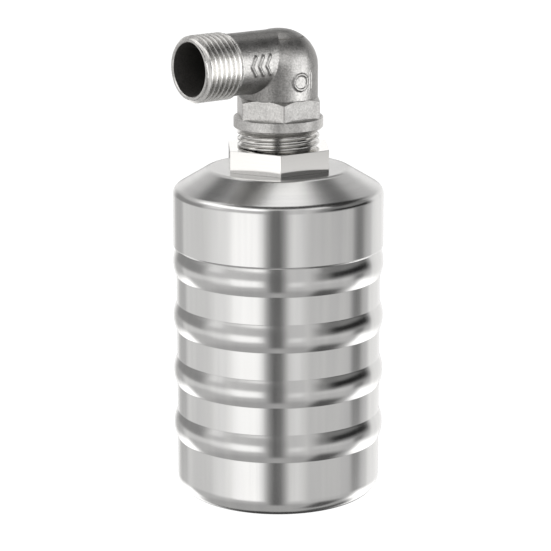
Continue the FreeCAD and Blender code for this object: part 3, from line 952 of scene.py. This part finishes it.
def bar_between(name, start, end, radius):
    """Round-ended stroke between two points, for a raised mark."""
    way = Vector(end) - Vector(start)
    profile = [(0.0, -radius)]
    profile += [(radius * math.cos(a), -radius * math.sin(a)) for a in np.radians([60, 30, 0])]
    profile += [(radius * math.cos(a), way.length + radius * math.sin(a))
                for a in np.radians([0, 30, 60])]
    profile.append((0.0, way.length + radius))
    stroke = lathe(name, profile, steps=12, closed=False)
    turn = way.to_track_quat("Z", "Y").to_matrix().to_4x4()
    stroke.data.transform(turn)
    for vertex in stroke.data.vertices:
        vertex.co += Vector(start) * MM
    return stroke


def on_barrel(along, around):
    """Point on the barrel's wall: millimetres from the bend, and degrees up from -Y."""
    angle = math.radians(around)
    return (-along, -BARREL_R * math.cos(angle), INLET_Z + BARREL_R * math.sin(angle))


def on_body(height, around):
    """Point on the upright wall, around degrees from -Y towards +X."""
    angle = math.radians(around)
    return (BODY_R * math.sin(angle), -BODY_R * math.cos(angle), height)


def cast_marks():
    """Strokes of three chevrons on the barrel, and of a ring and a bar on the upright."""
    strokes = []
    for tip in CHEVRON_TIPS:
        for side in (1, -1):
            strokes.append((
                on_barrel(tip, CHEVRON_TURN),
                on_barrel(tip - CHEVRON_LENGTH, CHEVRON_TURN + CHEVRON_SPREAD * side),
            ))
    ring = [on_body(RING_Z + RING_R * math.sin(a), RING_TURN + RING_SPREAD * math.cos(a))
            for a in np.linspace(0, 2 * math.pi, 13)]
    strokes += list(zip(ring[:-1], ring[1:]))
    strokes.append((on_body(RING_Z + RING_R, BAR_TURN), on_body(RING_Z - RING_R, BAR_TURN)))
    return strokes


print("strokes in the marks", len(cast_marks()))

# %% Passages
SOCKET_R = 10.45
SOCKET_TOP_Z = 132.5
PASSAGE_R = 8.0
PASSAGE_TOP_Z = 146.0
PASSAGE_TIP_R = 6.0
PASSAGE_TIP_Z = 148.3
BORE_R = 8.43
BORE_LENGTH = 40.0
NEAR_WALL = 0.02
NEAR_END = 0.05


def cut_passages(piece):
    """Cut the socket for the stub, and the inlet bore."""
    combine(piece, lathe("socket", [
        (0.0, COLLAR_LOW_Z - 1), (SOCKET_R, COLLAR_LOW_Z - 1), (SOCKET_R, SOCKET_TOP_Z),
        (PASSAGE_R, SOCKET_TOP_Z), (PASSAGE_R, PASSAGE_TOP_Z),
        (PASSAGE_TIP_R, PASSAGE_TIP_Z), (0.0, PASSAGE_TIP_Z),
    ], steps=96, closed=False), "DIFFERENCE")
    combine(piece, lie_along_inlet(lathe("bore", [
        (0.0, 0.0), (BORE_R, 0.0), (BORE_R, BORE_LENGTH), (0.0, BORE_LENGTH),
    ], steps=96, closed=False)), "DIFFERENCE")


def paint_passage_shade(piece):
    """Paint the faces inside the bore and the socket darker: as-cast skin, with painted shade."""
    piece.data.materials.append(PASSAGE_SHADE_FINISH)
    for face in piece.data.polygons:
        x, y, z = face.center / MM
        in_bore = x < 0 and math.hypot(y, z - INLET_Z) < BORE_R + NEAR_WALL
        in_socket = (COLLAR_LOW_Z + NEAR_END < z < SOCKET_TOP_Z + NEAR_END
                     and math.hypot(x, y) < SOCKET_R + NEAR_WALL)
        in_passage = (z < PASSAGE_TIP_Z + NEAR_END
                      and math.hypot(x, y) < PASSAGE_R + NEAR_WALL)
        if in_bore or in_socket or in_passage:
            face.material_index = 1


# %% Casting
VOXEL = 0.2
FOOT_CLEARANCE = 0.6
FOOT_STEP_LOW = 0.7
FOOT_STEP_TOP = 0.1


def build_elbow_casting():
    """Join the pattern's solids, remesh, soften, then bore it out."""
    waist_r = BODY_R - FOOT_CLEARANCE
    casting = lathe("elbow_casting", rounded([
        (0.0, HEX_LOW_Z + 1), (waist_r, HEX_LOW_Z + 1), (waist_r, HEX_TOP_Z - FOOT_STEP_LOW),
        (BODY_R, HEX_TOP_Z - FOOT_STEP_TOP), (BODY_R, INLET_Z + BARREL_R, DOME_R),
        (0.0, INLET_Z + BARREL_R),
    ]), steps=128, closed=False)
    barrel_end = -BARREL_END_X + BARREL_TUCK
    barrel = lathe("barrel", [
        (0.0, 0.0), (BARREL_R, 0.0), (BARREL_R, barrel_end), (0.0, barrel_end),
    ], steps=128, closed=False)
    combine(casting, lie_along_inlet(barrel), "UNION")
    for start, end in cast_marks():
        combine(casting, bar_between("stroke", start, end, MARK_R), "UNION")
    skin = casting.modifiers.new("skin", "REMESH")
    skin.mode = "VOXEL"
    skin.voxel_size = VOXEL * MM
    soft = casting.modifiers.new("tumbled", "SMOOTH")
    soft.factor = 0.5
    soft.iterations = 4
    apply_modifiers(casting)
    cut_passages(casting)
    use_finish(casting, FINISHES["cast_stainless"], 50.0)
    paint_passage_shade(casting)
    stand_for(casting, "valve", "cast_stainless", "elbow")


build_elbow_casting()

# %% [markdown]
# ## Foot of the elbow
# The hexagon that takes the spanner and the round collar below it are ground after casting,
# so their edges are crisp. Remeshing would blur them, so they are a mesh of their own: a
# hexagonal prism cut by a cone, which leaves the curved chamfer of a real hexagon.

# %% Foot
HEX_EDGE = 0.4
COLLAR_CHAMFER = 0.8
COLLAR_TOP_CHAMFER = 0.3


def build_elbow_foot():
    """Chamfered hexagon and collar, ground flat where the casting's skin ends."""
    top_z = HEX_TOP_Z + HEX_CHAMFER * HEX_FLATS / 2
    foot = prism("elbow_foot", HEX_FLATS, HEX_LOW_Z - 1, top_z, 0, bevel=HEX_EDGE)
    edge_r = COLLAR_R + 2
    combine(foot, lathe("chamfer", [
        (0.0, HEX_LOW_Z - 2), (edge_r, HEX_LOW_Z - 2),
        (edge_r, top_z - HEX_CHAMFER * edge_r), (0.0, top_z),
    ], steps=128, closed=False), "INTERSECT")
    combine(foot, lathe("collar", [
        (0.0, COLLAR_LOW_Z), (COLLAR_R - COLLAR_CHAMFER, COLLAR_LOW_Z),
        (COLLAR_R, COLLAR_LOW_Z + COLLAR_CHAMFER), (COLLAR_R, HEX_LOW_Z - COLLAR_TOP_CHAMFER),
        (COLLAR_R - COLLAR_TOP_CHAMFER, HEX_LOW_Z), (0.0, HEX_LOW_Z),
    ], steps=128, closed=False), "UNION")
    cut_passages(foot)
    use_finish(foot, FLATS_FINISH, 35.0)
    paint_passage_shade(foot)
    flat_shading(foot)
    stand_for(foot, "valve", "cast_stainless", "elbow")


build_elbow_foot()

# %% [markdown]
# ## Inlet thread
# The thread is a half-inch pipe thread cut on a lathe: a true helix of one pitch per turn,
# with a lead-in at the mouth and a run-out where the tool leaves the barrel. A Screw
# modifier could sweep one tooth, but the ends would stay blunt, so the rows are worked out
# as for the neck and shaved at both ends.

# %% Inlet thread
THREAD_MAJOR_R = INLET["dims"]["r_mm"]
THREAD_MINOR_R = 9.3155
THREAD_PITCH = 1.814
LEAD_IN_R = 9.35
LEAD_IN_SLOPE = 0.9
RUN_OUT = 1.4
BARREL_STEP = 0.1
FACE_R = 9.2
MOUTH_CHAMFER = 0.25
SLEEVE_START = 12.0
SLEEVE_WALL = 0.5
BRIGHT_MOUTH = 0.5


def build_inlet_thread():
    """Cut thread with a lead-in at the mouth and a run-out at the barrel."""
    start = -BARREL_END_X
    end = -INLET_FACE_X
    low_r = BARREL_R - BARREL_STEP

    def limit(r, z):
        lead_in = LEAD_IN_R + (end - z) * LEAD_IN_SLOPE
        run_out = min(max((z - start) / RUN_OUT, 0.0), 1.0)
        return min(lead_in, low_r + (r - low_r) * run_out)

    turns = thread(THREAD_MAJOR_R, THREAD_MINOR_R, THREAD_PITCH, start, end, limit)
    nipple = lie_along_inlet(lathe("inlet_nipple", [
        (BORE_R, end - MOUTH_CHAMFER), (BORE_R, SLEEVE_START),
        (BORE_R + SLEEVE_WALL, SLEEVE_START), (BORE_R + SLEEVE_WALL, start),
        turns, (FACE_R, end), (BORE_R + MOUTH_CHAMFER, end),
    ], steps=192))
    use_finish(nipple, THREAD_FINISH, 40.0)
    # Past the bright mouth the bore takes the dark finish: painted shade inside the bore.
    nipple.data.materials.append(PASSAGE_SHADE_FINISH)
    for face in nipple.data.polygons:
        x, y, z = face.center / MM
        in_bore = math.hypot(y, z - INLET_Z) < BORE_R + NEAR_WALL
        if in_bore and x > INLET_FACE_X + BRIGHT_MOUTH:
            face.material_index = 1
    stand_for(nipple, "valve", "cast_stainless", "elbow")


build_inlet_thread()

# %% [markdown]
# ## Lights for the casting
# The satin casting scatters light, so the tent alone leaves it flat. In a studio it gets
# small lamps of its own, and the polished drum is shielded from them. Light linking does
# the same here: these three lamps shine on the elbow's pieces alone.

# %% Lamps linked to the elbow
ELBOW_LAMPS = [
    # name, bearing, height (degrees), distance, size (metres), watts, pieces lit
    ("side_lamp", 70, 2, 0.45, 0.44, 2.3, ("elbow_casting", "inlet_nipple")),
    ("front_lamp", 16, 28, 0.45, 0.18, 0.35, ("elbow_casting",)),
    ("foot_lamp", 80, -6, 0.45, 0.20, 0.17, ("elbow_foot",)),
]
LAMP_AIM = (-8.0, 0.0, INLET_Z - 4)


def build_elbow_lamps():
    """Square lamps that face the elbow and light only its pieces."""
    target = Vector(LAMP_AIM) * MM
    for name, bearing, height, distance, size, watts, pieces in ELBOW_LAMPS:
        lit = bpy.data.collections.new(name + "_pieces")
        for piece in pieces:
            lit.objects.link(bpy.data.objects[piece])
        turn = VIEW_AZIMUTH + math.radians(bearing)
        rise = math.radians(height)
        away = Vector((math.sin(turn) * math.cos(rise), -math.cos(turn) * math.cos(rise),
                       math.sin(rise)))
        lamp = bpy.data.objects.new(name, bpy.data.lights.new(name, "AREA"))
        bpy.context.scene.collection.objects.link(lamp)
        lamp.data.size = size
        lamp.data.energy = watts
        lamp.location = target + away * distance
        lamp.rotation_mode = "QUATERNION"
        lamp.rotation_quaternion = away.to_track_quat("Z", "Y")
        lamp.light_linking.receiver_collection = lit


build_elbow_lamps()

# %% [markdown]
# ## The remaining pieces
# The pieces inside were measured and modelled exactly, and hardly any of them shows. Their
# shapes stay, and each one gets the finish of what it is really made of.

# %% Finishes for the measured pieces
SLOT_OF = {row["node"]: row["material_slot"] for row in frame["record"]["subparts"]}
for node_name, node in frame["nodes"].items():
    if node.hide_render:
        continue
    node.data.materials.clear()
    node.data.materials.append(FINISHES[SLOT_OF[node_name]])
    for face in node.data.polygons:
        face.material_index = 0
print("measured pieces kept", sum(not node.hide_render for node in frame["nodes"].values()))
